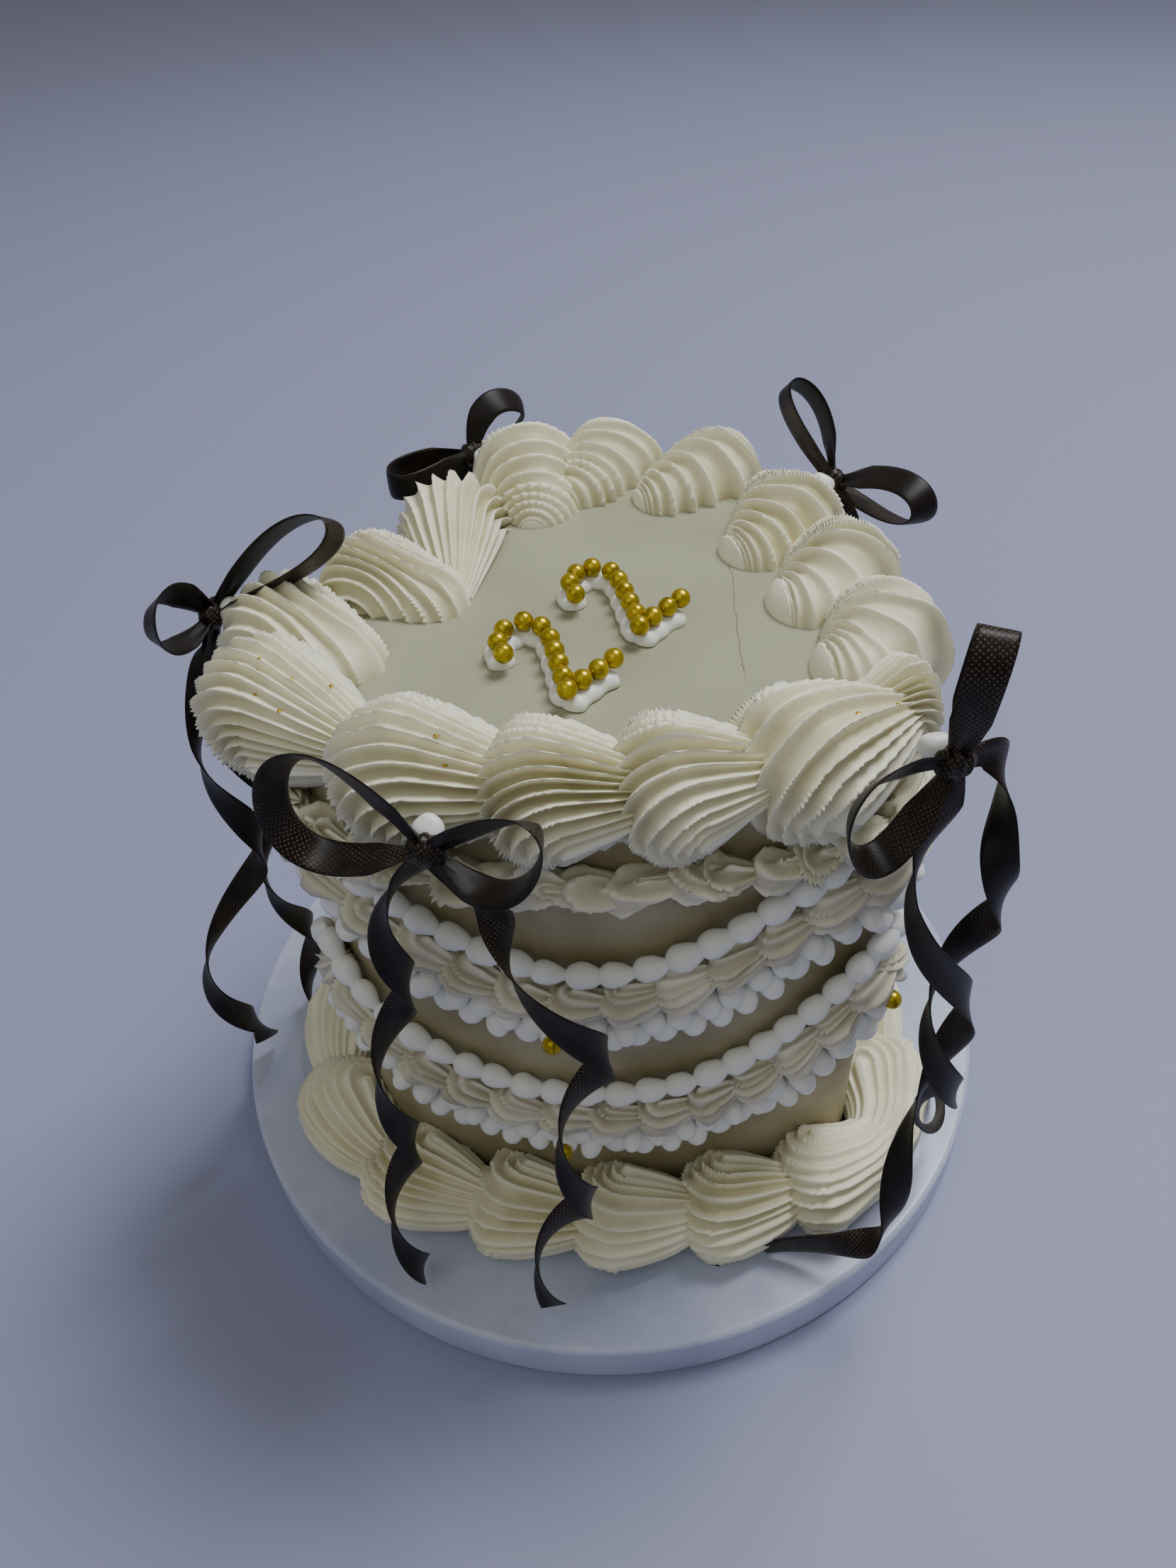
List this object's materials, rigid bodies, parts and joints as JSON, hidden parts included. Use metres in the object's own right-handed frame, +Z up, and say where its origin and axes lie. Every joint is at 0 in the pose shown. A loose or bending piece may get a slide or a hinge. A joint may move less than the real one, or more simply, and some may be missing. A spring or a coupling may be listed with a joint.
{
  "type": "heart-shaped piped birthday cake on a round board",
  "caption": "Tall heart-shaped cake on a round board, with piped shell borders, hanging swags of piped icing, pearl digits on top and satin ribbon bows.",
  "frame": {"origin": "middle of the underside of the round board, on the table", "axes": "+Z up; -Y towards the viewer of the picture, +X to the viewer's right; the heart's point lies towards +X and -Y, 37.8 degrees clockwise from +X"},
  "size_m": [0.2032, 0.2032, 0.1793],
  "materials": {
    "board": "satin",
    "cake_icing": "matte",
    "shell_icing": "satin",
    "white_icing": "satin",
    "cream_icing": "satin",
    "pearl": "gloss",
    "ribbon": "satin"
  },
  "bodies": {
    "root": {"cake_board": "board", "cake_body": "cake_icing", "bow_point": "ribbon", "bow_front": "ribbon", "bow_left": "ribbon", "bow_back": "ribbon", "bow_right": "ribbon", "rim_shell_front_1": "shell_icing", "rim_shell_front_2": "shell_icing", "rim_shell_front_3": "shell_icing", "rim_shell_front_4": "shell_icing", "rim_shell_front_5": "shell_icing", "rim_shell_front_6": "shell_icing", "rim_shell_front_7": "shell_icing", "rim_shell_back_1": "shell_icing", "rim_shell_back_2": "shell_icing", "rim_shell_back_3": "shell_icing", "rim_shell_back_4": "shell_icing", "rim_shell_back_5": "shell_icing", "rim_shell_back_6": "shell_icing", "rim_shell_back_7": "shell_icing", "rim_shell_cleft": "shell_icing", "base_shell_front_1": "shell_icing", "base_shell_front_2": "shell_icing", "base_shell_front_3": "shell_icing", "base_shell_front_4": "shell_icing", "base_shell_front_5": "shell_icing", "base_shell_front_6": "shell_icing", "base_shell_front_7": "shell_icing", "base_shell_front_8": "shell_icing", "base_shell_back_1": "shell_icing", "base_shell_back_2": "shell_icing", "base_shell_back_3": "shell_icing", "base_shell_back_4": "shell_icing", "base_shell_back_5": "shell_icing", "base_shell_back_6": "shell_icing", "base_shell_back_7": "shell_icing", "base_shell_back_8": "shell_icing", "ruffle": "shell_icing", "upper_beads": "white_icing", "upper_small_shells": "cream_icing", "upper_drops": "white_icing", "lower_beads": "white_icing", "lower_small_shells": "cream_icing", "lower_drops": "white_icing", "digit_1": "pearl", "digit_2": "pearl", "bow_dot_point": "white_icing", "bow_dot_front": "white_icing", "bow_dot_left": "white_icing", "bow_dot_back": "white_icing", "bow_dot_right": "white_icing"}
  },
  "joints": []
}
